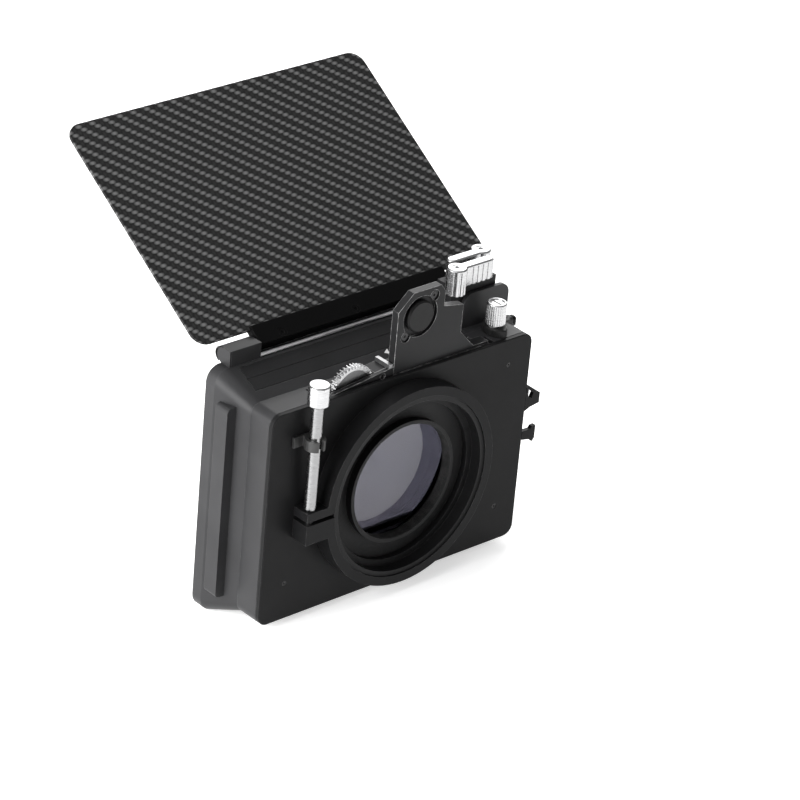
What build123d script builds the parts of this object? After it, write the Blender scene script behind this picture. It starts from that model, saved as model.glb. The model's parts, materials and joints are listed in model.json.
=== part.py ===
from build123d import *
import math
import os

# Clip-on camera matte box: lens hood with a raised top flag, two filter trays and a drop-in filter.
# Frame: +Y forward (away from the camera), +X right as seen from behind, +Z up.
# Origin: on the optical axis, at the rear face of the rear plate. Millimetres.

# Rear plate and filter stage
plate_width = 170.0
plate_height = 117.5
plate_thickness = 2.4
plate_corner = 6.0
stage_front = 16.8
stage_wall = 2.5
stage_front_wall = 2.4
stage_aperture_radius = 44.0
plate_aperture_radius = 50.6

# Front hood
hood_front = 43.5
band_rear = 36.8
hood_width = 183.6
hood_height = 135.5
hood_centre_z = 1.4
hood_corner = 8.0
hood_wall = 2.2

# Side rails
rail_outer_x = 93.2
rail_rear = 24.3
rail_front = 33.3
rail_bottom = -51.3
rail_top = 54.7

# Filter trays, for filters of 143.5 x 101.6 x 4 mm
filter_width = 143.5
filter_height = 101.6
filter_thickness = 4.0
tray_half_width = 78.0
tray_bottom = -55.0
tray_thickness = 6.25
tray_gap = 0.3
rear_tray_y = 22.6
front_tray_y = rear_tray_y + tray_thickness + tray_gap
neck_shelf = 80.1
neck_top = 83.7
grip_top = 94.5
lobe_radius = 5.3
lobe_groove_y = 27.7

# Hinge of the top flag
hinge_y = 44.0
hinge_z = 73.4
block_radius = 4.2
block_rear = 37.0
block_inner_x = 63.5
block_outer_x = 82.0
pin_radius = 1.6
barrel_radius = 3.9
barrel_half = 62.7
cap_thickness = 1.1
cap_setback = 1.5
cap_rim = 0.6
cross_bar_y = 37.9
cross_bar_z = 70.35
cross_bar_radius = 1.0
block_screw_y = 39.6
block_screw_radius = 1.5
block_screw_seat = hood_centre_z + hood_height / 2 - hood_wall
block_screw_top = 75.0

# Top flag, measured along its slope (t) and square to it (n) from the hinge axis
flag_tilt = 32.6
flag_width = 189.8
flag_length = 133.4
flag_thickness = 1.5
flag_start = 5.9
flag_seat = 2.05
flag_corner = 8.0
strip_thickness = 1.45
strip_screw_t = -0.5

# Lens clamp
clamp_bore_radius = 49.5
clamp_outer_radius = 54.4
clamp_depth = 10.5
lug_outer_x = -67.3
screw_x = -62.8
screw_y = -6.5
thread_clearance = 0.06
rod_radius = 3.0

# Lens adapter ring with a male 67 mm filter thread
adapter_rim_radius = clamp_bore_radius - 0.06
adapter_thread_radius = 33.5
adapter_thread_length = 4.0

# Drop-in filter unit
slot_half_width = 53.0
dropin_half_width = 52.6
dropin_rear = 3.0
cover_front = 5.2
gear_rear = 5.9
gear_front = 9.3
cavity_front = 10.0
dropin_front = 13.8
gear_module = 0.65
ring_teeth = 151
wheel_teeth = 41
gear_distance = gear_module * (ring_teeth + wheel_teeth) / 2
wheel_direction = 118.38
wheel_x = gear_distance * math.cos(math.radians(wheel_direction))
wheel_z = gear_distance * math.sin(math.radians(wheel_direction))
ring_cavity_radius = 50.2
glass_radius = 41.0
light_radius = 39.5
shoulder_left_z = 58.4
shoulder_right_z = 63.1
handle_left = -6.3
button_x = 8.4
button_z = 87.0
button_radius = 8.5

# Drop-in lock
lock_x = 67.5
lock_y = 10.2
cam_half_length = 8.4
cam_half_width = 5.2
cam_top = 63.2
thumb_top = 76.0

top = plate_height / 2
hood_slope = (hood_centre_z + hood_height / 2 - top) / (band_rear - stage_front)


def xz_prism(sketch, y_start, y_end):
    plane = Plane((0, y_end, 0), x_dir=(1, 0, 0), z_dir=(0, -1, 0))
    return extrude(plane * sketch, amount=y_end - y_start, dir=(0, -1, 0))


def yz_prism(sketch, x_start, x_end):
    plane = Plane((x_start, 0, 0), x_dir=(0, 1, 0), z_dir=(1, 0, 0))
    return extrude(plane * sketch, amount=x_end - x_start, dir=(1, 0, 0))


def xy_prism(sketch, z_start, z_end):
    return extrude(Plane.XY.offset(z_start) * sketch, amount=z_end - z_start, dir=(0, 0, 1))


def block(x_range, y_range, z_range):
    size = [high - low for low, high in (x_range, y_range, z_range)]
    centre = [(high + low) / 2 for low, high in (x_range, y_range, z_range)]
    return Pos(*centre) * Box(*size)


def rod_y(x, z, radius, y_start, y_end):
    return xz_prism(Pos(x, z) * Circle(radius), y_start, y_end)


def rod_z(x, y, radius, z_start, z_end):
    return xy_prism(Pos(x, y) * Circle(radius), z_start, z_end)


def rod_x(y, z, radius, x_start, x_end):
    return yz_prism(Pos(y, z) * Circle(radius), x_start, x_end)


def ring_y(outer, inner, y_start, y_end):
    return rod_y(0, 0, outer, y_start, y_end) - rod_y(0, 0, inner, y_start - 1, y_end + 1)


def outline(*points):
    return Polygon(*points, align=None)


def mirrored(shape):
    return mirror(shape, about=Plane.YZ)


def hood_solid(inset, y_start, y_end):
    """Tapered box of the hood, drawn in by inset, with its straight front band."""
    rear = RectangleRounded(plate_width - 2 * inset, plate_height - 2 * inset, plate_corner - inset * 0.6)
    front = RectangleRounded(hood_width - 2 * inset, hood_height - 2 * inset, hood_corner - inset * 0.6)
    front = Pos(0, hood_centre_z) * front
    rear_plane = Plane((0, y_start, 0), x_dir=(1, 0, 0), z_dir=(0, -1, 0))
    band_plane = Plane((0, band_rear, 0), x_dir=(1, 0, 0), z_dir=(0, -1, 0))
    taper = loft([rear_plane * rear, band_plane * front])
    return taper + xz_prism(front, band_rear, y_end)


def make_rear_plate():
    plate = xz_prism(RectangleRounded(plate_width, plate_height, plate_corner), 0, plate_thickness)
    plate = chamfer(plate.faces().sort_by(Axis.Y)[0].outer_wire().edges(), 0.4)
    plate -= rod_y(0, 0, plate_aperture_radius, -1, plate_thickness + 1)
    for x, z in plate_screw_places():
        plate -= rod_y(x, z, 1.3, -1, plate_thickness + 1)
    return plate


def plate_screw_places():
    return [(-70, -38), (70, -38), (-70, 44), (70, 44)]


def make_plate_screws():
    screws = []
    for x, z in plate_screw_places():
        screw = rod_y(x, z, 1.25, 0.2, plate_thickness + 3)
        screw -= xz_prism(Pos(x, z) * RegularPolygon(0.6, 6), 0.1, 1.2)
        screws.append(screw)
    return screws


def make_filter_stage():
    back_edge = plate_thickness
    stage = xz_prism(RectangleRounded(plate_width, plate_height, plate_corner), back_edge, stage_front)
    stage = chamfer(stage.faces().sort_by(Axis.Y)[0].outer_wire().edges(), 0.5)
    pocket_front = stage_front - stage_front_wall
    inner_width = plate_width - 2 * stage_wall
    inner_height = plate_height - 2 * stage_wall
    inner = RectangleRounded(inner_width, inner_height, plate_corner - stage_wall)
    guide_outer = slot_half_width + 2.2
    guide = Circle(guide_outer) + Pos(0, top / 2) * Rectangle(2 * guide_outer, top)
    stage -= xz_prism(inner - guide, back_edge - 1, pocket_front)
    channel = Circle(slot_half_width) + Pos(0, top / 2 + 1) * Rectangle(2 * slot_half_width, top + 2)
    stage -= xz_prism(channel, back_edge - 1, pocket_front)
    stage -= rod_y(0, 0, stage_aperture_radius, 0, stage_front + 1)
    stage -= rod_z(lock_x, lock_y, 2.05, top - stage_wall - 1, top + 1)
    stage -= block((57.4, 60.6), (plate_thickness - 1, 9), (top - stage_wall - 1, top + 1))
    posts = []
    for x, z in plate_screw_places():
        post = rod_y(x, z, 3, back_edge, pocket_front)
        posts.append(post - rod_y(x, z, 1.3, back_edge - 1, back_edge + 4))
    for post in posts:
        stage += post
    return stage


def make_front_hood():
    shell = hood_solid(0, stage_front, hood_front) - hood_solid(hood_wall, stage_front, hood_front)
    slot_front = front_tray_y + tray_thickness + tray_gap
    slot_half = tray_half_width + tray_gap
    shell -= block((-slot_half, slot_half), (rear_tray_y - tray_gap, slot_front), (40, 90))
    shell -= block((53.9, 85.1), (stage_front - 1, 22.3), (56.4, 90))
    shell -= rod_x(20.6, 54, 1.86, 70, 100)
    for x in (-78, -68, 68, 78):
        shell -= rod_z(x, block_screw_y, block_screw_radius + 0.1, 60, 72)
    return shell


def make_rail():
    rail = block((-rail_outer_x, -80), (rail_rear, rail_front), (rail_bottom, rail_top))
    end_edges = rail.faces().sort_by(Axis.X)[0].edges().filter_by(Axis.Y)
    rail = fillet(end_edges, 2.5)
    return rail - hood_solid(0, stage_front, hood_front)


def make_tray_guides():
    """Two upright channels and a bottom shelf that hold both trays, fixed to the stage."""
    rear = rear_tray_y - tray_gap
    front = front_tray_y + tray_thickness + tray_gap
    inner = tray_half_width + tray_gap
    base = block((-82.6, -inner), (stage_front, front + 1.5), (-50, 50))
    rear_flange = block((-inner, -72), (rear - 2, rear), (-50, 50))
    front_flange = block((-inner, -72), (front, front + 1.5), (-50, 50))
    left = base + rear_flange + front_flange
    shelf = block((-70, 70), (stage_front, front + 1.5), (-56.5, tray_bottom - 0.05))
    right = mirrored(left)
    right -= rod_x(20.6, 54, 1.86, 70, 100)
    return [left, right, shelf]


def make_tray_guard():
    foot = outline((stage_front, 56.5), (22.2, 56.5), (22.2, 60), (20, 60), (20, top), (stage_front, top))
    bend = outline((20, top), (20, top + 1.2), (18.8, top))
    base = yz_prism(foot + bend, 54, 84.6)
    height = 78.8 - 58
    wall = Pos(69.3, 58 + height / 2) * RectangleRounded(30.6, height, 6)
    lower = Pos(69.3, 62) * Rectangle(30.6, 8)
    return base + xz_prism(wall + lower, 20, 22.2)


def make_stage_screws():
    screws = []
    for x in (-62, 62):
        for z in (-49, 49):
            head = rod_y(x, z, 2.6, stage_front, stage_front + 1.6)
            head -= xz_prism(Pos(x, z) * RegularPolygon(1.3, 6), stage_front + 0.6, stage_front + 2)
            screws.append(head)
    return screws


def block_profile():
    flat = Rectangle(hinge_y - block_rear, 2 * block_radius, align=(Align.MAX, Align.CENTER))
    return Pos(hinge_y, hinge_z) * (flat + Circle(block_radius))


def make_hinge_block():
    body = yz_prism(block_profile(), -block_outer_x, -block_inner_x)
    front = Pos(hinge_y + cap_setback + 5, hinge_z) * Rectangle(10, 10)
    rim = (block_profile() - offset(block_profile(), -cap_rim)) & front
    body += yz_prism(rim, -block_outer_x - cap_thickness, -block_outer_x)
    body -= rod_x(hinge_y, hinge_z, pin_radius + 0.05, -76, -60)
    for x in (-78, -68):
        body -= rod_z(x, block_screw_y, block_screw_radius + 0.1, 60, block_screw_top + 0.5)
    return body


def make_hinge_block_screws():
    """Button heads inside the hood's top wall, with shanks up into the hinge blocks."""
    screws = []
    for x in (-78, -68, 68, 78):
        head = rod_z(x, block_screw_y, 2.6, block_screw_seat - 1.7, block_screw_seat)
        head -= xy_prism(Pos(x, block_screw_y) * RegularPolygon(1.25, 6), 60, block_screw_seat - 0.8)
        shank = rod_z(x, block_screw_y, block_screw_radius, block_screw_seat - 0.1, block_screw_top)
        screws.append(head + shank)
    return screws


def make_hinge_end_caps():
    """Cover plate whose front end stops short of the block's rim, leaving a curved groove."""
    cover = block_profile() & (Pos(-cap_setback, 0) * block_profile())
    cap = yz_prism(cover, -block_outer_x - cap_thickness, -block_outer_x)
    return [cap, mirrored(cap)]


def make_hinge_pins():
    pin = rod_x(hinge_y, hinge_z, pin_radius, -75.8, -54)
    return [pin, mirrored(pin)]


def make_hinge_washers():
    washer = rod_x(hinge_y, hinge_z, 3.1, -63.4, -62.8) - rod_x(hinge_y, hinge_z, 1.7, -64, -62)
    return [washer, mirrored(washer)]


def make_cross_bar():
    return rod_x(cross_bar_y, cross_bar_z, cross_bar_radius, -block_inner_x, block_inner_x)


def on_flag(shape):
    """Turns a shape drawn level over the hinge axis to the flag's resting tilt."""
    return Pos(0, hinge_y, hinge_z) * Rot(flag_tilt, 0, 0) * shape


def flag_screw_places():
    return [-47, 0, 47]


def make_flag_bracket():
    """Hinge barrel with a flat saddle on top and a flange under the flag."""
    strip_seat = flag_seat + flag_thickness
    saddle = Pos(1.1, (0.4 + strip_seat) / 2) * Rectangle(9, strip_seat - 0.4)
    flange = Pos(10.2, flag_seat - 0.8) * Rectangle(9.6, 1.6)
    under_strip = Pos(0, strip_seat - 5) * Rectangle(10, 10)
    barrel = Circle(barrel_radius) & under_strip
    body = yz_prism(barrel + saddle + flange, -barrel_half, barrel_half)
    body -= rod_x(0, 0, pin_radius + 0.06, -70, -53)
    body -= rod_x(0, 0, pin_radius + 0.06, 53, 70)
    for x in flag_screw_places():
        body -= rod_z(x, strip_screw_t, 1.05, -1, strip_seat + 1)
    return on_flag(body)


def make_flag_clamp_strip():
    """Flat strip on the saddle, whose front edge holds the flag down on the flange."""
    seat = flag_seat + flag_thickness
    head_seat = seat + 0.4
    strip = block((-62.5, 62.5), (-3.4, 7.4), (seat, seat + strip_thickness))
    for x in flag_screw_places():
        strip -= rod_z(x, strip_screw_t, 1.1, 0, 8)
        strip -= rod_z(x, strip_screw_t, 2.5, head_seat, 8)
    return on_flag(strip)


def make_flag_screws():
    seat = flag_seat + flag_thickness
    head_seat = seat + 0.4
    head_top = seat + strip_thickness - 0.1
    screws = []
    for x in flag_screw_places():
        screw = rod_z(x, strip_screw_t, 2.4, head_seat, head_top)
        screw -= xy_prism(Pos(x, strip_screw_t) * RegularPolygon(1.1, 6), head_top - 0.4, head_top + 1)
        shank = rod_z(x, strip_screw_t, 1.0, -0.8, head_seat + 0.1)
        screws.append(on_flag(screw + shank))
    return screws


def make_flag_panel():
    middle = flag_start + flag_length / 2
    panel = Pos(0, middle) * RectangleRounded(flag_width, flag_length, flag_corner)
    return on_flag(xy_prism(panel, flag_seat, flag_seat + flag_thickness))


def make_clamp_ring():
    collar = ring_y(clamp_outer_radius, clamp_bore_radius, -clamp_depth, 0)
    lower = block((lug_outer_x, -52), (-clamp_depth, 0), (-12.6, -2))
    upper = block((lug_outer_x, -52), (-clamp_depth, 0), (0.3, 5))
    ring = collar + lower + upper
    ring -= rod_y(0, 0, clamp_bore_radius, -clamp_depth - 1, 1)
    ring -= block((-70, -40), (-clamp_depth - 1, 1), (-2, 0.3))
    ring -= rod_z(screw_x, screw_y, 2.3, 0, 6)
    ring -= rod_z(screw_x, screw_y, 2 + thread_clearance, -11.5, 0)
    return ring


def make_rod_clip():
    clip = rod_z(screw_x, screw_y, 5.2, 39, 44.5)
    clip += block((screw_x - 3.4, screw_x + 3.4), (-4, 0), (39, 44.5))
    clip += block((screw_x - 9, screw_x + 9), (-1.4, 0), (39, 44.5))
    clip -= rod_z(screw_x, screw_y, rod_radius + 0.3, 38, 46)
    return clip - block((screw_x - 1.6, screw_x + 1.6), (-14, screw_y), (38, 46))


def make_clamp_rod():
    thread = rod_z(screw_x, screw_y, 2.0, -11, 5.2)
    shank = rod_z(screw_x, screw_y, rod_radius, 5.1, 62.9)
    shank = chamfer(shank.faces().sort_by(Axis.Z)[0].edges(), 0.5)
    return shank + thread


def make_clamp_knob():
    facets = 10
    knob = xy_prism(Pos(screw_x, screw_y) * RegularPolygon(5.6, facets), 62.9, 74)
    limit = rod_z(screw_x, screw_y, 5.5, 62.9, 74)
    limit = chamfer(limit.edges().filter_by(GeomType.CIRCLE), 0.7)
    return knob & limit


def make_adapter_ring():
    """Clamped rim, dished web and the male thread that screws into the lens."""
    rim = ring_y(adapter_rim_radius, 46.8, -clamp_depth + 0.8, 2.2)
    web = ring_y(47, 31.6, 0.3, 2.2)
    thread = ring_y(adapter_thread_radius, 31.6, -adapter_thread_length, 0.4)
    step = ring_y(47, 43.4, -3.2, 0.4)
    return rim + web + thread + step


def dropin_outline():
    """Round-bottomed plate with a rising left shoulder, level to the right of the handle."""
    sides = outline(
        (-dropin_half_width, 0),
        (dropin_half_width, 0),
        (dropin_half_width, top - 0.35),
        (handle_left, top - 0.35),
        (handle_left, shoulder_right_z),
        (-46, shoulder_left_z),
        (-dropin_half_width, shoulder_left_z - 1),
    )
    return Circle(dropin_half_width) + sides


def make_dropin_cover():
    cover = xz_prism(dropin_outline(), dropin_rear, cover_front)
    cover -= rod_y(0, 0, light_radius + 1.5, 0, 20)
    for x, z in dropin_screw_places():
        cover -= rod_y(x, z, 1.6, 0, 20)
    return cover


def dropin_screw_places():
    return [(-13.2, 59.9), (-48.5, 34), (48.5, 34), (48.5, 54)]


def make_dropin_screws():
    screws = []
    for x, z in dropin_screw_places():
        screw = rod_y(x, z, 1.5, dropin_rear + 0.2, cover_front + 0.3)
        screws.append(screw - xz_prism(Pos(x, z) * RegularPolygon(0.7, 6), 2.8, 4.2))
    return screws


def make_dropin_frame():
    frame = xz_prism(dropin_outline(), cover_front, dropin_front)
    frame -= rod_y(0, 0, ring_cavity_radius, cover_front - 1, cavity_front)
    frame -= rod_y(wheel_x, wheel_z, 14.7, cover_front - 1, cavity_front)
    frame -= rod_y(0, 0, 45.1, cover_front, 11)
    frame -= rod_y(0, 0, light_radius, 0, 20)
    frame -= rod_y(0, 0, glass_radius + 0.2, 11.8, 20)
    for x, z in dropin_screw_places():
        frame -= rod_y(x, z, 1.6, 5, cover_front + 0.5)
    return frame


def make_fixed_glass():
    return rod_y(0, 0, glass_radius, 11.8, 13.4)


def gear_outline(teeth, phase):
    """Straight-flanked teeth with free play; a tooth points along phase, in degrees."""
    pitch_radius = gear_module * teeth / 2
    tip = pitch_radius + 0.85 * gear_module
    root = pitch_radius - 1.15 * gear_module
    step = 360 / teeth
    points = []
    for tooth in range(teeth):
        centre = phase + tooth * step
        for radius, share in ((root, -0.30), (tip, -0.12), (tip, 0.12), (root, 0.30)):
            angle = math.radians(centre + share * step)
            points.append((radius * math.cos(angle), radius * math.sin(angle)))
    return outline(*points)


def make_ring_gear():
    teeth = gear_outline(ring_teeth, wheel_direction) - Circle(glass_radius + 0.2)
    gear = xz_prism(teeth, gear_rear, gear_front)
    gear += ring_y(45.04, glass_radius + 0.2, gear_front, 10.8)
    return gear + ring_y(glass_radius + 0.3, light_radius, gear_rear, gear_rear + 0.5)


def make_turning_glass():
    return rod_y(0, 0, glass_radius, gear_rear + 0.5, gear_rear + 2.1)


def make_glass_retainer():
    return ring_y(glass_radius + 0.1, light_radius, gear_rear + 2.1, gear_rear + 3.2)


def make_thumb_wheel():
    phase = wheel_direction + 180 + 180 / wheel_teeth
    rim = gear_outline(wheel_teeth, phase) - Circle(11.2)
    return Pos(wheel_x, 0, wheel_z) * xz_prism(rim, gear_rear, gear_front)


def make_wheel_hub():
    hub = Circle(11.2) - Circle(2.56)
    return Pos(wheel_x, 0, wheel_z) * xz_prism(hub, gear_rear + 0.3, gear_front - 0.3)


def make_wheel_axle():
    return rod_y(wheel_x, wheel_z, 2.5, cover_front, cavity_front)


def make_shoulder_stop():
    """Short bright bar across the inner end of the shoulder."""
    bar = block((handle_left - 3.2, handle_left - 1), (dropin_rear, dropin_front), (shoulder_right_z - 1, 65))
    return bar - xz_prism(dropin_outline(), dropin_rear - 1, dropin_front + 1)


def make_handle_plate():
    """Tall pull plate with a foot, a round recess for the button and a lower right step."""
    face = outline(
        (handle_left, top + 0.1),
        (handle_left, 92.5),
        (3, 101),
        (21, 101),
        (24, 97),
        (24, 88.5),
        (37, 86),
        (37, 70.5),
        (48, top + 0.1),
    )
    plate = xz_prism(face, dropin_rear, 7.4)
    foot = block((handle_left, 46), (dropin_rear, dropin_front), (top + 0.1, top + 2.6))
    lug = block((40, 56.6), (dropin_rear, 9), (top + 0.1, top + 1.6))
    plate += foot + lug
    plate -= rod_y(button_x, button_z, 11, 0, 5.0)
    plate -= rod_y(button_x, button_z, 3.06, 0, 20)
    for x, z in handle_screw_places():
        plate -= rod_y(x, z, 3, 0, 4.6)
        plate -= rod_y(x, z, 1.1, 0, 20)
    return plate


def handle_screw_places():
    return [(button_x + 8.6, button_z + 9.2), (button_x - 8.6, button_z - 9.2)]


def make_handle_screws():
    screws = []
    for x, z in handle_screw_places():
        screw = rod_y(x, z, 2.1, 3.7, 4.6) + rod_y(x, z, 1.0, 4.5, 7.2)
        screws.append(screw - xz_prism(Pos(x, z) * RegularPolygon(0.8, 6), 3, 4.2))
    return screws


def make_handle_foot_screws():
    screws = []
    for x in (-3, 18, 38):
        head_base = top + 2.6
        screw = rod_z(x, 10.6, 1.9, head_base, head_base + 1.2)
        screws.append(screw - xy_prism(Pos(x, 10.6) * RegularPolygon(0.9, 6), head_base + 0.5, head_base + 2))
    return screws


def make_button():
    cap = rod_y(button_x, button_z, button_radius, 2.0, 3.7)
    cap = chamfer(cap.faces().sort_by(Axis.Y)[0].edges(), 0.8)
    return cap + rod_y(button_x, button_z, 3.0, 3.6, 7.2)


def make_button_spring():
    ring = rod_y(button_x, button_z, 5.2, 4.6, 5.0)
    return ring - rod_y(button_x, button_z, 4.0, 4, 6)


def tray_top(y):
    return top + hood_slope * (y - stage_front)


def make_tray(y_start, neck_steps):
    """Filter frame with a rebate on its rear side, a top flush with the hood, and a neck."""
    y_end = y_start + tray_thickness
    side = outline(
        (y_start, tray_bottom),
        (y_end, tray_bottom),
        (y_end, tray_top(y_end)),
        (y_start, tray_top(y_start)),
    )
    tray = yz_prism(side, -tray_half_width, tray_half_width)
    tray -= xz_prism(RectangleRounded(filter_width - 4, filter_height - 4, 3), y_start - 1, y_end + 1)
    rebate_end = y_start + filter_thickness + 0.2
    tray -= xz_prism(Rectangle(filter_width + 0.4, filter_height + 0.4), y_start - 1, rebate_end)
    tray -= block((-74, -70), (y_start - 1, rebate_end), (-22, 22))
    for x_range, y_range, neck_end in neck_steps:
        tray += block(x_range, y_range, (top, neck_end))
    return tray


def make_rear_tray():
    """Relieved at the front right, so that it lifts clear of the front grip's round end."""
    relief = block((69, 80), (lobe_groove_y, front_tray_y), (-60, 80))
    return make_tray(rear_tray_y, rear_neck) - relief


def make_tray_spring(y_start):
    """Bowed leaf in the side pocket of a tray, which holds the filter against the far side."""
    reach = 20.0
    bow = 1.3
    strip = 0.35
    radius = (reach * reach + bow * bow) / (2 * bow)
    band = Pos(-72.1 - radius, 0) * (Circle(radius) - Circle(radius - strip))
    band &= Pos(-72.5, 0) * Rectangle(2.8, 2 * reach)
    return xz_prism(band, y_start + 0.6, y_start + 3.6)


def make_grip(lobe_x, lobe_y, arm_end, arm_y):
    """Pull grip: a round lobe with a screw recess and a fluted arm beside it."""
    flute = 0.75
    lobe = rod_z(lobe_x, lobe_y, lobe_radius, neck_shelf + 0.1, grip_top)
    arm_x = sorted((lobe_x, arm_end))
    arm = block(arm_x, arm_y, (neck_top + 0.1, grip_top))
    end = rod_z(arm_end, (arm_y[0] + arm_y[1]) / 2, (arm_y[1] - arm_y[0]) / 2, neck_top + 0.1, grip_top)
    grip = lobe + arm + end
    grip = chamfer(grip.faces().sort_by(Axis.Z)[-1].outer_wire().edges(), 0.7)
    direction = 1 if arm_end > lobe_x else -1
    for step in range(5):
        x = lobe_x + direction * (8.2 + 3.3 * step)
        for y in arm_y:
            grip -= rod_z(x, y, flute, 75, grip_top - 1.2)
    for angle in range(0, 360, 36):
        away = math.radians(angle)
        x = lobe_x + (lobe_radius + 0.25) * math.cos(away)
        y = lobe_y + (lobe_radius + 0.25) * math.sin(away)
        if direction * (x - lobe_x) < 2.5:
            grip -= rod_z(x, y, flute, 75, grip_top - 1.2)
    return grip - rod_z(lobe_x, lobe_y, 2.7, grip_top - 1.6, grip_top + 1)


def make_grip_screw(lobe_x, lobe_y):
    screw = rod_z(lobe_x, lobe_y, 2.6, grip_top - 1.6, grip_top - 0.2)
    return screw - xy_prism(Pos(lobe_x, lobe_y) * RegularPolygon(1.3, 6), grip_top - 1.0, grip_top)


def make_lock_stud():
    return rod_z(lock_x, lock_y, 2.0, top - stage_wall, 70)


def make_lock_cam():
    reach = (cam_half_length ** 2 + cam_half_width ** 2) / (2 * cam_half_width)
    shift = reach - cam_half_width
    lens = (Pos(shift, 0) * Circle(reach)) & (Pos(-shift, 0) * Circle(reach))
    cam = xy_prism(Pos(lock_x, lock_y) * lens, top + 0.1, cam_top)
    cam = chamfer(cam.faces().sort_by(Axis.Z)[-1].outer_wire().edges(), 0.6)
    return cam - rod_z(lock_x, lock_y, 2.06, 50, 70)


def make_thumb_screw():
    radius = 5.15
    ridges = 26
    knob = rod_z(lock_x, lock_y, radius, cam_top + 0.8, thumb_top)
    knob = chamfer(knob.edges().filter_by(GeomType.CIRCLE), 0.5)
    for ridge in range(ridges):
        angle = math.radians(360 * ridge / ridges)
        x = lock_x + (radius + 0.1) * math.cos(angle)
        y = lock_y + (radius + 0.1) * math.sin(angle)
        knob -= rod_z(x, y, 0.34, cam_top, thumb_top - 0.8)
    knob += rod_z(lock_x, lock_y, 4.3, cam_top, cam_top + 0.9)
    knob -= rod_z(lock_x, lock_y, 2.06, 60, 70.5)
    knob -= rod_z(lock_x, lock_y, 3.9, thumb_top - 0.5, thumb_top + 1)
    knob -= block((lock_x - 0.5, lock_x + 0.5), (lock_y - 3.4, lock_y + 3.4), (thumb_top - 1.5, thumb_top))
    return knob


def make_lock_button():
    head = Pos(20.6, 55) * RectangleRounded(4.4, 5.6, 1.5)
    body = yz_prism(head, 89.3, 91.0)
    body = chamfer(body.faces().sort_by(Axis.X)[-1].edges(), 0.5)
    return body + rod_x(20.6, 54, 1.8, 84, 89.4)


def make_button_boss():
    seat = Pos(20.6, 55) * RectangleRounded(5.4, 6.4, 1.5)
    boss = yz_prism(seat, 84.7, 88)
    boss -= rod_x(20.6, 54, 1.86, 70, 100)
    return boss - hood_solid(0, stage_front, hood_front) - block((70, 100), (0, stage_front), (40, 70))


def make_lock_spring():
    return rod_x(20.6, 54, 2.6, 88, 88.25) - rod_x(20.6, 54, 2.0, 87, 90)


def make_side_hooks():
    upper = outline((85, 26.6), (87, 27), (94.6, 21.4), (94.6, 15.6), (88, 14.6), (85, 13.2))
    upper -= outline((86.4, 25.2), (90.2, 22.4), (89, 19.6), (86.4, 20.8))
    lower_top = [(85, 1.2), (90.6, 1.0), (91.6, 2.4), (93.9, 2.6)]
    lower_bottom = [(93.9, -4.6), (92.4, -6.6), (90, -4.6), (85, -3.6)]
    lower = outline(*lower_top, *lower_bottom)
    return [xz_prism(shape, 0, plate_thickness) for shape in (upper, lower)]


rear_lobe = (50.1, 23.3)
front_lobe = (74.8, 33.2)
rear_arm_y = (20.4, 26.0)
front_arm_y = (29.2, 34.8)
rear_neck = [((47, 77), (rear_tray_y, 26), neck_shelf), ((57.5, 77), (rear_tray_y, 26), neck_top)]
front_neck = [((48, 78), (29.4, 34.4), neck_shelf), ((48, 67), (29.4, 34.4), neck_top)]

nodes = {
    "rear_plate": make_rear_plate(),
    "plate_screws": make_plate_screws(),
    "filter_stage": make_filter_stage(),
    "front_hood": make_front_hood(),
    "side_rail_left": make_rail(),
    "side_rail_right": mirrored(make_rail()),
    "tray_guides": make_tray_guides(),
    "tray_guard": make_tray_guard(),
    "stage_screws": make_stage_screws(),
    "hinge_block_left": make_hinge_block(),
    "hinge_block_right": mirrored(make_hinge_block()),
    "hinge_block_screws": make_hinge_block_screws(),
    "hinge_end_caps": make_hinge_end_caps(),
    "hinge_pins": make_hinge_pins(),
    "hinge_washers": make_hinge_washers(),
    "hinge_cross_bar": make_cross_bar(),
    "flag_bracket": make_flag_bracket(),
    "flag_clamp_strip": make_flag_clamp_strip(),
    "flag_screws": make_flag_screws(),
    "flag_panel": make_flag_panel(),
    "clamp_ring": make_clamp_ring(),
    "rod_clip": make_rod_clip(),
    "clamp_screw_rod": make_clamp_rod(),
    "clamp_screw_knob": make_clamp_knob(),
    "lens_adapter_ring": make_adapter_ring(),
    "dropin_cover": make_dropin_cover(),
    "dropin_screws": make_dropin_screws(),
    "dropin_frame": make_dropin_frame(),
    "fixed_polariser": make_fixed_glass(),
    "ring_gear": make_ring_gear(),
    "turning_polariser": make_turning_glass(),
    "polariser_retainer": make_glass_retainer(),
    "thumb_wheel": make_thumb_wheel(),
    "thumb_wheel_hub": make_wheel_hub(),
    "thumb_wheel_axle": make_wheel_axle(),
    "shoulder_stop": make_shoulder_stop(),
    "handle_plate": make_handle_plate(),
    "handle_screws": make_handle_screws(),
    "handle_foot_screws": make_handle_foot_screws(),
    "handle_button": make_button(),
    "handle_button_spring": make_button_spring(),
    "rear_tray_frame": make_rear_tray(),
    "rear_tray_spring": make_tray_spring(rear_tray_y),
    "rear_tray_grip": make_grip(rear_lobe[0], rear_lobe[1], 71, rear_arm_y),
    "rear_tray_grip_screw": make_grip_screw(*rear_lobe),
    "front_tray_frame": make_tray(front_tray_y, front_neck),
    "front_tray_spring": make_tray_spring(front_tray_y),
    "front_tray_grip": make_grip(front_lobe[0], front_lobe[1], 54.5, front_arm_y),
    "front_tray_grip_screw": make_grip_screw(*front_lobe),
    "dropin_lock_stud": make_lock_stud(),
    "dropin_lock_cam": make_lock_cam(),
    "dropin_lock_thumb_screw": make_thumb_screw(),
    "tray_lock_button": make_lock_button(),
    "tray_lock_boss": make_button_boss(),
    "tray_lock_spring": make_lock_spring(),
    "side_hooks": make_side_hooks(),
}

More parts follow.
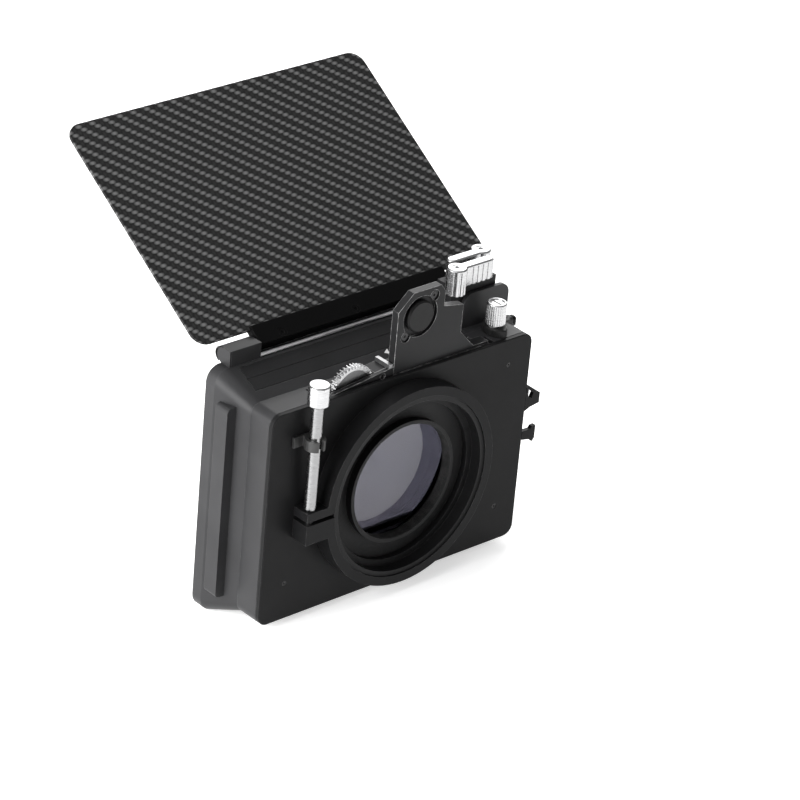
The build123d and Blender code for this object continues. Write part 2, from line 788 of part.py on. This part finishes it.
os.makedirs("parts", exist_ok=True)
for name, shape in nodes.items():
    solids = []
    for piece in shape if isinstance(shape, list) else [shape]:
        solids.extend(piece.solids())
    model = solids[0] if len(solids) == 1 else Compound(children=solids)
    export_step(model, f"parts/{name}.step")
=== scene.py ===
import json
import math

import bmesh
import bpy
from mathutils import Matrix, Vector


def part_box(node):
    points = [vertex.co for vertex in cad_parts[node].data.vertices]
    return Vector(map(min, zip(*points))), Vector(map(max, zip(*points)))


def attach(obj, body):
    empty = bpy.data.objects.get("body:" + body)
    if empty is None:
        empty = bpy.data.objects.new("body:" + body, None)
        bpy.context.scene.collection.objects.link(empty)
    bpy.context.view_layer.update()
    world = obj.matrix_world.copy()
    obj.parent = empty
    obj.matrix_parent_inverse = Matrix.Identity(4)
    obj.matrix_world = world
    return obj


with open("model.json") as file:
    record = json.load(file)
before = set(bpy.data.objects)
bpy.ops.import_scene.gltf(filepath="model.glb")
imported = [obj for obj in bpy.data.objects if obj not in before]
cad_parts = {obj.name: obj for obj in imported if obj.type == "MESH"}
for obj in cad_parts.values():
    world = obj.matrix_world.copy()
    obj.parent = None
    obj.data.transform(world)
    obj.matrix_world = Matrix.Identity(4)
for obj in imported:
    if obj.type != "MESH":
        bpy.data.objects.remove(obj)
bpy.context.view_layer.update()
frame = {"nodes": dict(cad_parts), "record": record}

MM = 0.001
nodes = frame["nodes"]

# The photograph's camera, fitted to the object. Its aim is off the part's origin by the two small angles.
CAMERA_AZIMUTH = math.radians(-43.58)
CAMERA_ELEVATION = math.radians(29.07)
CAMERA_ROLL = math.radians(5.25)
CAMERA_DISTANCE = 1.929
LENS_MM = 174.195
SENSOR_MM = 36.0
AIM_RIGHT = math.radians(0.03996)
AIM_UP = math.radians(1.1573)
CLIP_NEAR = 0.05
CLIP_FAR = 60.0

# The floor is a sheet FLOOR_HALF metres from its middle to each side, just below the part.
FLOOR_HALF = 14.0
FLOOR_GAP = 0.1 * MM
FLOOR_GLOW = 0.55
WORLD_STRENGTH = 0.30

# The flag's slope at rest, which its weave follows, and the width of one tow.
FLAG_TILT = math.radians(32.6)
TOW_WIDTH = 2.13 * MM

# Radii that soft edges are rounded to, and that the painted edge highlights reach to (on metal partly edge
# wear, on plastic a painted sheen).
METAL_EDGE = 0.22 * MM
BRIGHT_EDGE = 0.18 * MM
BRIGHT_HIGHLIGHT_AND_WEAR = 0.2 * MM
PLASTIC_EDGE = 0.2 * MM
PLASTIC_SHEEN = 0.3 * MM
WEAVE_EDGE = 0.2 * MM

# Ridges inside the lens adapter, as a saw-tooth on its bore.
THREAD_RADIUS = 31.7 * MM
THREAD_DEPTH = 0.4 * MM
THREAD_PITCH = 0.5 * MM
THREAD_REAR = -3.8 * MM
THREAD_FRONT_GAP = 0.3 * MM
THREAD_STEPS = 160

# The index mark is a triangle on the hood's sloping top, pointing left. MARK_POINT is its point's (x, y).
MARK_POINT = (2.8 * MM, 20.5 * MM)
MARK_BASE_X = 5.7 * MM
MARK_HALF_WIDTH = 1.5 * MM
MARK_SUNK = 0.02 * MM
MARK_PROUD = 0.06 * MM
HOOD_BAND_DEPTH = 6.7 * MM


# ---------------------------------------------------------------- shader nodes

class Shader:
    """Short names for building one node tree. Coordinates are the part's own, in metres."""

    def __init__(self, name):
        self.material = bpy.data.materials.new(name)
        self.material.use_nodes = True
        self.tree = self.material.node_tree
        self.bsdf = self.tree.nodes["Principled BSDF"]
        self.place = self.add("ShaderNodeTexCoord").outputs["Object"]

    def add(self, kind, **settings):
        node = self.tree.nodes.new(kind)
        for key, value in settings.items():
            setattr(node, key, value)
        return node

    def join(self, source, target):
        self.tree.links.new(source, target)

    def put(self, socket, value):
        if isinstance(value, (int, float, tuple)):
            socket.default_value = value
        else:
            self.join(value, socket)

    def math(self, operation, *values):
        node = self.add("ShaderNodeMath", operation=operation)
        for socket, value in zip(node.inputs, values):
            self.put(socket, value)
        return node.outputs[0]

    def vector(self, operation, *values):
        node = self.add("ShaderNodeVectorMath", operation=operation)
        for socket, value in zip(node.inputs, values):
            self.put(socket, value)
        return node.outputs[0]

    def mix(self, share, low, high):
        node = self.add("ShaderNodeMix", data_type="RGBA")
        self.put(node.inputs[0], share)
        self.put(node.inputs[6], low)
        self.put(node.inputs[7], high)
        return node.outputs[2]

    def scale(self, value, low, high, to_low, to_high):
        node = self.add("ShaderNodeMapRange")
        for socket, number in zip(node.inputs, (value, low, high, to_low, to_high)):
            self.put(socket, number)
        return node.outputs[0]

    def noise(self, size, detail=3.0, place=None):
        """Noise whose features are about size metres across."""
        node = self.add("ShaderNodeTexNoise")
        self.put(node.inputs["Scale"], 1.0 / size)
        self.put(node.inputs["Detail"], detail)
        self.join(place or self.place, node.inputs["Vector"])
        return node.outputs["Fac"]

    def stretched(self, stretch):
        return self.vector("MULTIPLY", self.place, stretch)

    def axes(self, place=None):
        node = self.add("ShaderNodeSeparateXYZ")
        self.join(place or self.place, node.inputs[0])
        return node.outputs

    def bump(self, height, distance, strength, under=None):
        node = self.add("ShaderNodeBump")
        self.put(node.inputs["Strength"], strength)
        self.put(node.inputs["Distance"], distance)
        self.join(height, node.inputs["Height"])
        if under is not None:
            self.join(under, node.inputs["Normal"])
        return node.outputs[0]

    def grooved_normal(self, normal, lines):
        """Joins the normal to the shader, with lathe grooves on it if lines gives their height."""
        if lines is not None:
            normal = self.bump(lines(self), 0.05 * MM, 0.6, normal)
        self.join(normal, self.bsdf.inputs["Normal"])

    def soft_edges(self, radius):
        node = self.add("ShaderNodeBevel", samples=6)
        self.put(node.inputs["Radius"], radius)
        return node.outputs[0]

    def edge_mask(self, radius):
        """1 on edges within radius, 0 on flat faces."""
        rounded = self.soft_edges(radius)
        flat = self.add("ShaderNodeNewGeometry").outputs["Normal"]
        dot = self.add("ShaderNodeVectorMath", operation="DOT_PRODUCT")
        self.join(rounded, dot.inputs[0])
        self.join(flat, dot.inputs[1])
        return self.scale(dot.outputs["Value"], 0.97, 0.80, 0.0, 1.0)


def grey(level, blue=1.0):
    return (level, level, level * blue, 1.0)


def anodised(name, level, metal, rough, shine,
             grain=0.09, edge_highlight_gain=2.2, highlight_and_wear=0.5, edge=0.28, lines=None):
    """Bead-blasted and anodised aluminium: fine grain, cloudy tone, and edges painted brighter as a painted
    highlight that partly stands for edge wear.

    level is the grey of the flat faces. Grain and edge are in millimetres."""
    s = Shader(name)
    clouds = s.noise(26 * MM, 4.0)
    specks = s.noise(grain * MM * 3, 2.0)
    tone = s.mix(s.scale(clouds, 0.35, 0.65, 0.0, 1.0), grey(level * 0.86, 1.05), grey(level * 1.14, 1.05))
    fine = s.mix(s.scale(specks, 0.3, 0.7, 0.0, 0.35), tone, grey(level * 1.7, 1.04))
    patchy = s.scale(s.noise(3.5 * MM, 3.0), 0.40, 0.62, 0.25, 1.0)
    # Painted highlight on the edges, in random patches, partly standing for edge wear.
    edges = s.math("MULTIPLY", s.math("MULTIPLY", s.edge_mask(edge * MM), patchy), highlight_and_wear)
    s.join(s.mix(edges, fine, grey(min(level * edge_highlight_gain + 0.05, 0.9))), s.bsdf.inputs["Base Color"])
    rubbed = s.noise(60 * MM, 3.0, s.stretched((1.0, 1.0, 0.4)))
    s.join(s.scale(rubbed, 0.3, 0.7, rough - 0.045, rough + 0.05), s.bsdf.inputs["Roughness"])
    s.bsdf.inputs["Metallic"].default_value = metal
    s.bsdf.inputs["Specular IOR Level"].default_value = shine
    normal = s.bump(specks, 0.012 * MM, 0.35, s.soft_edges(METAL_EDGE))
    s.grooved_normal(normal, lines)
    return s.material


def turned_lines(pitch):
    """Fine lathe grooves at a pitch in millimetres along the optical axis, for the gears."""
    def height(s):
        y = s.math("MULTIPLY", s.axes()[1], 2 * math.pi / (pitch * MM))
        return s.math("SINE", y)
    return height


def turned_faces(pitch):
    """Concentric lathe rings about the optical axis, for turned faces. The pitch is in millimetres."""
    def height(s):
        x, _, z = s.axes()
        across = s.math("ADD", s.math("POWER", x, 2.0), s.math("POWER", z, 2.0))
        return s.math("SINE", s.math("MULTIPLY", s.math("SQRT", across), 2 * math.pi / (pitch * MM)))
    return height


def carbon_twill(name):
    """2 x 2 twill of flat tows under satin lacquer. Each tow passes over two others, stepping by one."""
    s = Shader(name)
    turn = s.add("ShaderNodeMapping")
    turn.inputs["Rotation"].default_value = (-FLAG_TILT, 0.0, 0.0)
    s.join(s.place, turn.inputs["Vector"])
    across, along, _ = s.axes(turn.outputs["Vector"])
    u = s.math("DIVIDE", across, TOW_WIDTH)
    v = s.math("DIVIDE", along, TOW_WIDTH)
    column = s.math("FLOOR", u)
    row = s.math("FLOOR", v)

    def float_phase(line, position):
        """Place along a tow's repeat of four crossings; under 2 is the half that lies on top."""
        return s.math("FLOORED_MODULO", s.math("ADD", line, position), 4.0)

    warp_on_top = s.math("LESS_THAN", float_phase(column, row), 1.5)
    warp_float = s.math("MULTIPLY", float_phase(column, v), 0.5)
    weft_float = s.math("MULTIPLY", s.math("SUBTRACT", float_phase(row, u), 2.0), 0.5)

    def crown(position):
        half_turn = s.math("MULTIPLY", position, math.pi)
        return s.math("MAXIMUM", s.math("SINE", half_turn), 0.0)

    def tow_height(place_along, across_tows):
        """Arched along the tow's float, and a little across its own width."""
        side = crown(s.math("FRACT", across_tows))
        return s.math("ADD", s.math("MULTIPLY", crown(place_along), 0.65), s.math("MULTIPLY", side, 0.35))

    warp_height = tow_height(warp_float, u)
    weft_height = tow_height(weft_float, v)
    picker = s.add("ShaderNodeMix", data_type="FLOAT")
    s.join(warp_on_top, picker.inputs[0])
    s.join(weft_height, picker.inputs[2])
    s.join(warp_height, picker.inputs[3])
    height = picker.outputs[0]

    def fibres(stretch):
        return s.noise(1.0, 2.0, s.vector("MULTIPLY", turn.outputs["Vector"], stretch))

    fibres_along = fibres((5200.0, 420.0, 420.0))
    fibres_across = fibres((420.0, 5200.0, 420.0))
    fibre = s.mix(warp_on_top, fibres_across, fibres_along)
    # Painted sheen and shade: the weft tows are painted bright and the warp tows dark in place of the fibres'
    # sheen. Each tow is painted lighter on its crown and darker towards the gaps, and the fibre streaks are
    # painted lighter.
    warp_painted_sheen = s.mix(s.math("POWER", height, 1.6), grey(0.004), grey(0.021))
    weft_painted_sheen = s.mix(s.math("POWER", height, 1.8), grey(0.006), grey(0.160))
    tone = s.mix(warp_on_top, weft_painted_sheen, warp_painted_sheen)
    shaded = s.mix(s.scale(fibre, 0.25, 0.75, 0.0, 0.18), tone, grey(0.1))
    s.join(shaded, s.bsdf.inputs["Base Color"])
    cloud = s.noise(45 * MM, 3.0)
    s.join(s.scale(cloud, 0.3, 0.7, 0.36, 0.47), s.bsdf.inputs["Roughness"])
    s.bsdf.inputs["Specular IOR Level"].default_value = 0.0
    s.bsdf.inputs["Coat Weight"].default_value = 0.07
    s.bsdf.inputs["Coat Roughness"].default_value = 0.22
    weave = s.bump(height, 0.14 * MM, 0.8, s.soft_edges(WEAVE_EDGE))
    s.join(s.bump(fibre, 0.01 * MM, 0.3, weave), s.bsdf.inputs["Normal"])
    return s.material


def brushed(name, level, rough, stretch, edge_highlight_gain=1.0, lines=None):
    """Bright metal with streaks, as fine along x, y and z as stretch says, and clouded roughness."""
    s = Shader(name)
    streaks = s.noise(1.0, 3.0, s.stretched(stretch))
    smear = s.noise(9 * MM, 3.0)
    low, high = grey(level * 0.80, 1.01), grey(min(level * 1.10, 0.95), 1.01)
    base = s.mix(s.scale(streaks, 0.3, 0.7, 0.0, 1.0), low, high)
    # Painted highlight on the edges, partly standing for edge wear.
    edges = s.math("MULTIPLY", s.edge_mask(BRIGHT_HIGHLIGHT_AND_WEAR), 0.5)
    s.join(s.mix(edges, base, grey(min(level * 1.15 * edge_highlight_gain, 0.95))), s.bsdf.inputs["Base Color"])
    clouded = s.scale(s.math("ADD", streaks, smear), 0.7, 1.3, rough - 0.06, rough + 0.09)
    s.join(clouded, s.bsdf.inputs["Roughness"])
    s.bsdf.inputs["Metallic"].default_value = 1.0
    normal = s.bump(streaks, 0.008 * MM, 0.3, s.soft_edges(BRIGHT_EDGE))
    s.grooved_normal(normal, lines)
    return s.material


def moulded(name, level, rough, grain, shine=0.5):
    """Plastic with a fine spark-eroded grain and a faint sheen painted on its edges."""
    s = Shader(name)
    pits = s.noise(grain * MM, 3.0)
    clouds = s.noise(12 * MM, 3.0)
    base = s.mix(s.scale(clouds, 0.35, 0.65, 0.0, 1.0), grey(level * 0.85), grey(level * 1.2))
    # Painted sheen on the edges.
    edges = s.math("MULTIPLY", s.edge_mask(PLASTIC_SHEEN), 0.5)
    s.join(s.mix(edges, base, grey(level * 3.0 + 0.02)), s.bsdf.inputs["Base Color"])
    s.join(s.scale(pits, 0.3, 0.7, rough - 0.06, rough + 0.08), s.bsdf.inputs["Roughness"])
    s.bsdf.inputs["Specular IOR Level"].default_value = shine
    s.join(s.bump(pits, 0.02 * MM, 0.4, s.soft_edges(PLASTIC_EDGE)), s.bsdf.inputs["Normal"])
    return s.material


def coated_glass(name):
    """Dark polarising glass: tinted, with a faint film of dust that roughens it."""
    s = Shader(name)
    dust = s.noise(1.2 * MM, 5.0)
    film = s.noise(30 * MM, 2.0)
    tint = s.mix(s.scale(film, 0.3, 0.7, 0.0, 1.0), (0.20, 0.20, 0.235, 1.0), (0.235, 0.23, 0.26, 1.0))
    s.join(tint, s.bsdf.inputs["Base Color"])
    s.join(s.scale(dust, 0.35, 0.8, 0.015, 0.07), s.bsdf.inputs["Roughness"])
    s.bsdf.inputs["Transmission Weight"].default_value = 1.0
    s.bsdf.inputs["IOR"].default_value = 1.5
    s.join(s.bump(dust, 0.002 * MM, 0.1), s.bsdf.inputs["Normal"])
    return s.material


def painted_mark(name):
    s = Shader(name)
    grain = s.noise(0.3 * MM, 3.0)
    s.join(s.mix(grain, grey(0.62), grey(0.85)), s.bsdf.inputs["Base Color"])
    s.join(s.scale(grain, 0.3, 0.7, 0.5, 0.65), s.bsdf.inputs["Roughness"])
    s.join(s.bump(grain, 0.01 * MM, 0.4), s.bsdf.inputs["Normal"])
    return s.material


# ------------------------------------------------------------------- materials

# How finely streaks vary along x, y and z, per metre: drawn along x, or turned about z.
DRAWN_ALONG_X = (260.0, 3000.0, 3000.0)
TURNED_ABOUT_Z = (300.0, 300.0, 3600.0)

# The edge settings below set how strong each finish's painted edge highlight is. The plate's and the handle's
# are strongest, as painted highlights on their rims.
finish_of_slot = {
    "plate_black": anodised(
        "plate_black", level=0.007, metal=0.06, rough=0.40, shine=0.09,
        grain=0.07, edge_highlight_gain=14.0, highlight_and_wear=0.65),
    "body_black": anodised(
        "body_black", level=0.023, metal=0.10, rough=0.38, shine=0.20,
        edge_highlight_gain=6.0, highlight_and_wear=0.6),
    "hinge_black": anodised(
        "hinge_black", level=0.018, metal=0.15, rough=0.38, shine=0.20,
        grain=0.08, edge_highlight_gain=6.0, highlight_and_wear=0.6),
    "tray_black": anodised(
        "tray_black", level=0.014, metal=0.15, rough=0.46, shine=0.16,
        edge_highlight_gain=2.5, highlight_and_wear=0.45),
    "handle_black": anodised(
        "handle_black", level=0.012, metal=0.15, rough=0.38, shine=0.16,
        edge_highlight_gain=40.0, highlight_and_wear=1.2, edge=0.5),
    "adapter_black": anodised(
        "adapter_black", level=0.007, metal=0.10, rough=0.40, shine=0.14,
        edge_highlight_gain=8.0, lines=turned_faces(0.7)),
    "screw_black": brushed(
        "screw_black", level=0.05, rough=0.34, stretch=(900.0, 900.0, 900.0),
        edge_highlight_gain=3.0),
    "steel": brushed("steel", level=0.42, rough=0.27, stretch=(1600.0, 1600.0, 500.0)),
    "silver": brushed("silver", level=0.55, rough=0.24, stretch=TURNED_ABOUT_Z),
    "bar_grey": brushed("bar_grey", level=0.34, rough=0.34, stretch=DRAWN_ALONG_X),
    "gear_grey": brushed(
        "gear_grey", level=0.20, rough=0.36, stretch=(1800.0, 1800.0, 1800.0),
        lines=turned_lines(0.35)),
    "button_black": moulded("button_black", level=0.008, rough=0.34, grain=0.25, shine=0.16),
    "black_polymer": moulded("black_polymer", level=0.020, rough=0.42, grain=0.35),
    "carbon_fibre": carbon_twill("carbon_fibre"),
    "polariser_glass": coated_glass("polariser_glass"),
}
mark_paint = painted_mark("mark_paint")
strip_finish = anodised(
    "strip_black", level=0.002, metal=0.0, rough=0.50, shine=0.04,
    grain=0.08, edge_highlight_gain=3.0, highlight_and_wear=0.3)

# Pieces that look unlike the rest of their slot.
finish_of_node = {
    "hinge_cross_bar": brushed("cross_bar_grey", level=0.85, rough=0.42, stretch=DRAWN_ALONG_X),
    "clamp_screw_rod": brushed("rod_silver", level=0.32, rough=0.24, stretch=TURNED_ABOUT_Z),
    "flag_bracket": strip_finish,
    "flag_clamp_strip": strip_finish,
    "flag_screws": strip_finish,
}

for part in frame["record"]["subparts"]:
    shown = nodes[part["node"]]
    shown.data.materials.clear()
    finish = finish_of_node.get(part["node"], finish_of_slot[part["material_slot"]])
    shown.data.materials.append(finish)
    for face in shown.data.polygons:
        face.material_index = 0


# ---------------------------------------------------------------- added pieces

def mesh_piece(name, vertices, faces, material, body):
    """A flat-shaded mesh that rides on a body, with its normals turned outwards."""
    mesh = bpy.data.meshes.new(name)
    mesh.from_pydata([Vector(v) for v in vertices], [], faces)
    work = bmesh.new()
    work.from_mesh(mesh)
    bmesh.ops.recalc_face_normals(work, faces=work.faces)
    work.to_mesh(mesh)
    work.free()
    for face in mesh.polygons:
        face.use_smooth = False
    piece = bpy.data.objects.new(name, mesh)
    bpy.context.scene.collection.objects.link(piece)
    mesh.materials.append(material)
    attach(piece, body)


def turned_piece(name, profile, steps, material, body):
    """A closed profile of (radius, y) points, in metres, turned about the optical axis."""
    vertices = []
    faces = []
    count = len(profile)
    for step in range(steps):
        angle = 2 * math.pi * step / steps
        for radius, y in profile:
            vertices.append((radius * math.cos(angle), y, radius * math.sin(angle)))
    for step in range(steps):
        after = (step + 1) % steps
        for point in range(count):
            following = (point + 1) % count
            faces.append((
                step * count + point,
                step * count + following,
                after * count + following,
                after * count + point,
            ))
    mesh_piece(name, vertices, faces, material, body)


def glare_thread():
    """Fine saw-tooth ridges on the bore of the lens adapter, which stop stray light."""
    _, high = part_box("lens_adapter_ring")
    teeth = int((high.y - THREAD_FRONT_GAP - THREAD_REAR) / THREAD_PITCH)
    profile = [(THREAD_RADIUS, THREAD_REAR)]
    for tooth in range(teeth):
        y = THREAD_REAR + tooth * THREAD_PITCH
        profile.append((THREAD_RADIUS - THREAD_DEPTH, y + 0.1 * THREAD_PITCH))
        profile.append((THREAD_RADIUS - 0.15 * THREAD_DEPTH, y + 0.8 * THREAD_PITCH))
    profile.append((THREAD_RADIUS, THREAD_REAR + teeth * THREAD_PITCH))
    finish = finish_of_slot["adapter_black"]
    turned_piece("adapter_glare_thread", profile, THREAD_STEPS, finish, "adapter")


def index_mark():
    """Small filled triangle on the hood's sloping top."""
    _, stage_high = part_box("filter_stage")
    _, hood_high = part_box("front_hood")
    rise = (hood_high.z - stage_high.z) / (hood_high.y - HOOD_BAND_DEPTH - stage_high.y)

    def on_slope(x, y, lift):
        return (x, y, stage_high.z + rise * (y - stage_high.y) + lift)

    point_y = MARK_POINT[1]
    corners = [MARK_POINT, (MARK_BASE_X, point_y - MARK_HALF_WIDTH), (MARK_BASE_X, point_y + MARK_HALF_WIDTH)]
    vertices = [on_slope(x, y, lift) for lift in (-MARK_SUNK, MARK_PROUD) for x, y in corners]
    faces = [(0, 1, 2), (3, 4, 5), (0, 1, 4, 3), (1, 2, 5, 4), (2, 0, 3, 5)]
    mesh_piece("hood_index_mark", vertices, faces, mark_paint, "housing")


glare_thread()
index_mark()


# ------------------------------------------------------------ camera and studio

level_forward = Vector((-math.sin(CAMERA_AZIMUTH), math.cos(CAMERA_AZIMUTH), 0.0))
forward = math.cos(CAMERA_ELEVATION) * level_forward - math.sin(CAMERA_ELEVATION) * Vector((0.0, 0.0, 1.0))
level_right = Vector((math.cos(CAMERA_AZIMUTH), math.sin(CAMERA_AZIMUTH), 0.0))
level_up = level_right.cross(forward)
right = math.cos(CAMERA_ROLL) * level_right + math.sin(CAMERA_ROLL) * level_up
up = -math.sin(CAMERA_ROLL) * level_right + math.cos(CAMERA_ROLL) * level_up


def make_camera():
    """Stands where the photograph was taken from, turned so that no lens shift is needed."""
    data = bpy.data.cameras.new("camera")
    camera = bpy.data.objects.new("camera", data)
    bpy.context.scene.collection.objects.link(camera)
    aim = (forward + math.tan(AIM_RIGHT) * right + math.tan(AIM_UP) * up).normalized()
    side = aim.cross(up).normalized()
    top = side.cross(aim)
    turn = Matrix((side, top, -aim)).transposed().to_4x4()
    camera.matrix_world = Matrix.Translation(-CAMERA_DISTANCE * forward) @ turn
    data.lens = LENS_MM
    data.sensor_width = SENSOR_MM
    data.clip_start = CLIP_NEAR
    data.clip_end = CLIP_FAR
    bpy.context.scene.camera = camera


# The photograph's camera is assumed to be level, so its roll gives the lean of the hood on the floor.
floor_lean = math.atan(-right.z / right.y)


def lowest_along(normal):
    """The least height of any CAD vertex along a direction."""
    return min(vertex.co.dot(normal) for node in nodes.values() for vertex in node.data.vertices)


def make_floor():
    """A pale sheet, leaning so that the hood's lower edge rests on it."""
    normal = Vector((0.0, math.sin(floor_lean), math.cos(floor_lean)))
    height = lowest_along(normal) - FLOOR_GAP
    along = Vector((0.0, math.cos(floor_lean), -math.sin(floor_lean)))
    across = Vector((1.0, 0.0, 0.0))
    centre = normal * height
    signs = ((-1, -1), (1, -1), (1, 1), (-1, 1))
    corners = [centre + FLOOR_HALF * (a * across + b * along) for a, b in signs]
    mesh = bpy.data.meshes.new("floor")
    mesh.from_pydata(corners, [], [(0, 1, 2, 3)])
    floor = bpy.data.objects.new("floor", mesh)
    bpy.context.scene.collection.objects.link(floor)
    s = Shader("floor_paper")
    paper = s.noise(4 * MM, 3.0)
    s.join(s.mix(paper, grey(0.86), grey(0.90)), s.bsdf.inputs["Base Color"])
    s.bsdf.inputs["Roughness"].default_value = 0.55
    s.bsdf.inputs["Emission Color"].default_value = grey(1.0)
    s.bsdf.inputs["Emission Strength"].default_value = FLOOR_GLOW
    mesh.materials.append(s.material)


def soft_light(name, place, target, size, power):
    data = bpy.data.lights.new(name, "AREA")
    data.shape = "DISK"
    data.size = size
    data.energy = power
    light = bpy.data.objects.new(name, data)
    bpy.context.scene.collection.objects.link(light)
    light.location = Vector(place)
    light.rotation_mode = "QUATERNION"
    light.rotation_quaternion = (Vector(target) - Vector(place)).to_track_quat("-Z", "Y")


def make_studio():
    world = bpy.data.worlds.new("studio")
    bpy.context.scene.world = world
    world.use_nodes = True
    background = world.node_tree.nodes["Background"]
    background.inputs["Color"].default_value = grey(1.0)
    background.inputs["Strength"].default_value = WORLD_STRENGTH
    middle = (0.0, 0.05, 0.0)
    soft_light("key_overhead", place=(-0.4, 0.4, 2.0), target=middle, size=2.2, power=14.0)
    soft_light("sheen_front_right", place=(1.5, 1.6, 1.25), target=middle, size=2.0, power=34.0)
    soft_light("fill_left", place=(-2.2, 0.3, 0.6), target=(0.0, 0.0, 0.0), size=2.6, power=155.0)


make_camera()
make_floor()
make_studio()
bpy.context.scene.view_settings.view_transform = "Standard"
